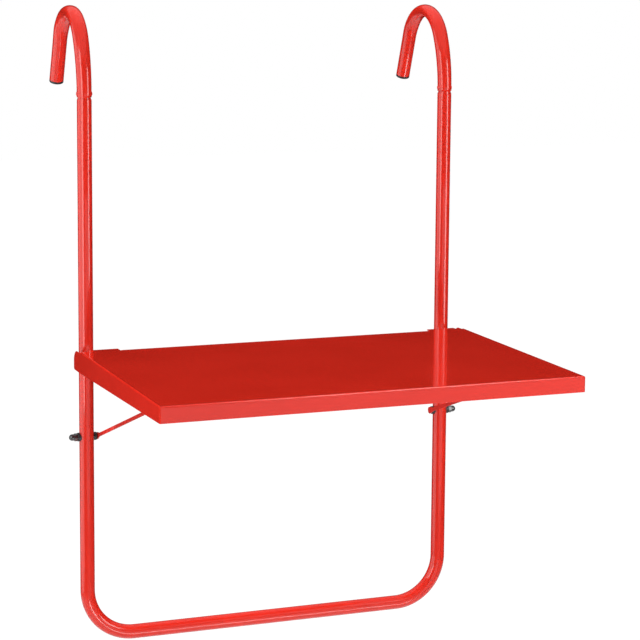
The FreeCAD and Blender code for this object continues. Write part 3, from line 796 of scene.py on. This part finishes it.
stud = bmesh.new()
thread_line = threaded(3.0, -14.1, -5.4)
turn_outline(stud, [(0, -14.1)] + thread_line
             + [(3.0, -5.2), (3.6, -5.2), (4.0, -4.8), (4.0, 2.2), (6.1, 2.2)]
             + rounded(6.1, 2.6, 0.4, -90, 0, 3) + [(6.5, 5.2), (0, 5.2)])
stand_along(stud, (1, 0, 0), (lug_outer_x, hinge_y, hinge_z))
keep_pair(stud, "ear_stud", ("table_top", "table_top"), "zinc_steel", zinc_steel, ["hinge_stud"])
washer = bmesh.new()
turn_outline(washer, [(3.1, 0), (5.8, 0), (6.0, 0.15), (6.0, 1.0), (5.75, 1.2), (3.25, 1.2), (3.1, 1.05),
                      (3.1, 0)])
end_play, washer_thickness = 0.2, 1.2
washer_x = lug_inner_x - end_play - washer_thickness
stand_along(washer, (1, 0, 0), (washer_x, hinge_y, hinge_z))
keep_pair(washer, "stud_washer", ("table_top", "table_top"), "zinc_steel", zinc_steel, ["hinge_washer"])


def mill_hexagon(form, flats):
    """Cuts six flats on a turned blank and closes each with one face."""
    for turn in range(6):
        outward = Vector((cos(turn * pi / 3), sin(turn * pi / 3), 0))
        made = bmesh.ops.bisect_plane(form, geom=form.verts[:] + form.edges[:] + form.faces[:], dist=0.0001,
                                      plane_co=outward * flats / 2, plane_no=outward, clear_outer=True)
        bmesh.ops.contextual_create(form, geom=edges_of(made["geom_cut"]))


nut_flats = 10.0
nut = bmesh.new()
turn_outline(nut, [(2.9, -6.0), (3.8, -6.0)] + rounded(3.9, -5.2, 0.8, -90, 0, 4)
             + [(4.75, -4.2), (5.68, -3.7), (5.68, -0.4), (5.0, 0), (3.3, 0), (2.9, -0.4), (2.9, -6.0)], 60)
mill_hexagon(nut, nut_flats)
stand_along(nut, (1, 0, 0), (washer_x, hinge_y, hinge_z))
keep_pair(nut, "lock_nut", ("table_top", "table_top"), "zinc_steel", zinc_steel, ["hinge_nut"], 25)
insert = bmesh.new()
turn_outline(insert, [(2.95, -6.12), (3.75, -6.12), (3.75, -5.6), (2.95, -5.6), (2.95, -6.12)], 40)
stand_along(insert, (1, 0, 0), (washer_x, hinge_y, hinge_z))
keep_pair(insert, "lock_nut_insert", ("table_top", "table_top"), "bush_plastic", bush_plastic)

# Stays: 5.5 mm steel rods. The lower end is pressed flat to an eye, and the upper end is bent outward
# through the notch of the guide. The same red coat, thicker and softer over the thin rod.
red_rod_coat = powder_coat("red_rod_coat", (0.62, 0.030, 0.022), (0.68, 0.036, 0.027), 0.12, 1.6, 0.32)
rod_radius, pin_bend, pin_length = 2.75, 5.0, 19.0
pin_inset, pin_drop = 72.0, 9.0
pin_y, pin_z = front_y + pin_inset, top_z - pin_drop
stay_run = hypot(upright_y - pin_y, pin_z - pivot_z)
stay_turn = atan2(upright_y - pin_y, pin_z - pivot_z)


def press_ring(edges, wide, deep, square):
    """Presses the round end ring of a bar to a wide, shallow section with rounded corners."""
    for vert in ring_verts(edges):
        reach = hypot(vert.co.x, vert.co.y)
        along, across_ring = vert.co.x / reach, vert.co.y / reach
        vert.co.x = deep * abs(along) ** square * (1 if along > 0 else -1)
        vert.co.y = wide * abs(across_ring) ** square * (1 if across_ring > 0 else -1)


stay = bmesh.new()
sections = [
    (-5.1, 1.4, 0.9, 0.8), (-4.75, 2.3, 1.45, 0.65), (-4.0, 3.4, 1.75, 0.5), (-2.9, 4.35, 1.8, 0.45),
    (-1.5, 5.0, 1.8, 0.42), (0, 5.2, 1.8, 0.42), (1.5, 5.1, 1.8, 0.42), (3.5, 4.75, 1.8, 0.45),
    (6, 4.2, 1.9, 0.52), (8.5, 3.65, 2.1, 0.64), (11, 3.15, 2.4, 0.8), (13, 2.85, 2.65, 0.93),
    (14.5, 2.75, 2.75, 1.0),
]
rod_sides = 32
ring = start_ring(stay, rod_radius, (0, 0, sections[0][0]), rod_sides)
bmesh.ops.rotate(stay, verts=stay.verts, cent=(0, 0, 0), matrix=Matrix.Rotation(pi / rod_sides, 3, "Z"))
press_ring(ring, *sections[0][1:])
bmesh.ops.contextual_create(stay, geom=ring)
for level, *pressed in sections[1:]:
    ring = run_to(stay, ring, level)
    press_ring(ring, *pressed)
for level in (140, 260, stay_run - pin_bend):
    ring = run_to(stay, ring, level)
ring = bend_on(stay, ring, (pin_bend, 0, stay_run - pin_bend), (0, 1, 0), pi / 2, 12)
pin_chamfer = 0.6
ring = run_on(stay, ring, (pin_length - pin_bend - pin_chamfer, 0, 0))
ring = run_on(stay, ring, (pin_chamfer, 0, 0))
resize_ring(stay, ring, (1, 0.8, 0.8))
bmesh.ops.contextual_create(stay, geom=ring)
lean_stay = Matrix.Translation((stay_x, upright_y, pivot_z)) @ Matrix.Rotation(stay_turn, 4, "X")
bmesh.ops.transform(stay, matrix=lean_stay, verts=stay.verts, space=Matrix())
keep_pair(stay, "stay", ("stay_left", "stay_right"), "red_rod", red_rod_coat, ["stay_rod"])

# Stay studs: M6 studs resistance welded to the outer face of the eye, with a small upset ring.
stay_stud = bmesh.new()
nut_face_x = washer_face_x + 0.1
stud_end = nut_face_x + 5.0 - stay_x
turn_outline(stay_stud, [(0, -stud_end)] + threaded(3.0, -stud_end, -2.6)
             + [(2.8, -2.6), (2.8, -1.88), (0, -1.88)], 32)
stand_along(stay_stud, (-1, 0, 0), (stay_x, upright_y, pivot_z))
keep_pair(stay_stud, "stay_end_stud", ("stay_left", "stay_right"), "zinc_steel", zinc_steel, ["stay_stud"])

# Cap nuts: domed M6 nuts, black and glossy, chamfered at both ends of the hexagon. They close the studs
# on the outer flanks of the uprights.
black_nut, tree, shader = new_material("black_nut")
place = tree.nodes.new("ShaderNodeTexCoord")
spots = tree.nodes.new("ShaderNodeTexNoise")
spots.inputs["Scale"].default_value = 420.0
spots.inputs["Detail"].default_value = 3.0
tree.links.new(place.outputs["Object"], spots.inputs["Vector"])
shades = tree.nodes.new("ShaderNodeValToRGB")
shades.color_ramp.elements[0].color = (0.008, 0.008, 0.009, 1)
shades.color_ramp.elements[1].color = (0.022, 0.022, 0.024, 1)
tree.links.new(spots.outputs[0], shades.inputs[0])
tree.links.new(shades.outputs[0], shader.inputs["Base Color"])
shader.inputs["Roughness"].default_value = 0.2
shader.inputs["Coat Weight"].default_value = 1.0
shader.inputs["Coat Roughness"].default_value = 0.06
bump = tree.nodes.new("ShaderNodeBump")
bump.inputs["Distance"].default_value = 0.0001
bump.inputs["Strength"].default_value = 0.12
tree.links.new(spots.outputs[0], bump.inputs["Height"])
tree.links.new(bump.outputs[0], shader.inputs["Normal"])
cap_nut = bmesh.new()
turn_outline(cap_nut, [(3.1, 0), (5.0, 0), (5.68, 0.45), (5.68, 4.5), (5.05, 4.95), (4.72, 5.0),
                       (4.72, 7.7)]
             + rounded(0, 7.75, 4.75, 0, 84, 10) + [(0, 12.5), (0, 5.4), (3.1, 5.4), (3.1, 0)], 60)
mill_hexagon(cap_nut, nut_flats)
bmesh.ops.rotate(cap_nut, verts=cap_nut.verts, cent=(0, 0, 0), matrix=Matrix.Rotation(radians(12), 3, "Z"))
stand_along(cap_nut, (1, 0, 0), (nut_face_x, upright_y, pivot_z))
keep_pair(cap_nut, "domed_nut", ("stay_left", "stay_right"), "black_nut", black_nut, ["cap_nut"], 25)

# Stay caps: soft black caps pushed on the upper stay ends, so that they can't leave the guides.
stay_cap = bmesh.new()
turn_outline(stay_cap, [(2.8, -5.5), (3.9, -5.5)] + rounded(4.1, -5.1, 0.4, -90, 0, 3)
             + [(4.5, -4.6), (4.1, -4.2), (4.1, -3.4), (4.5, -3.0)] + rounded(3.5, 0, 1.0, 0, 90, 5)
             + [(0, 1), (0, 0.05), (2.8, 0.05), (2.8, -5.5)], 40)
stand_along(stay_cap, (1, 0, 0), (stay_x + pin_length, pin_y, pin_z))
keep_pair(stay_cap, "stay_end_cap", ("stay_left", "stay_right"), "black_plastic", black_plastic,
          ["stay_cap"])
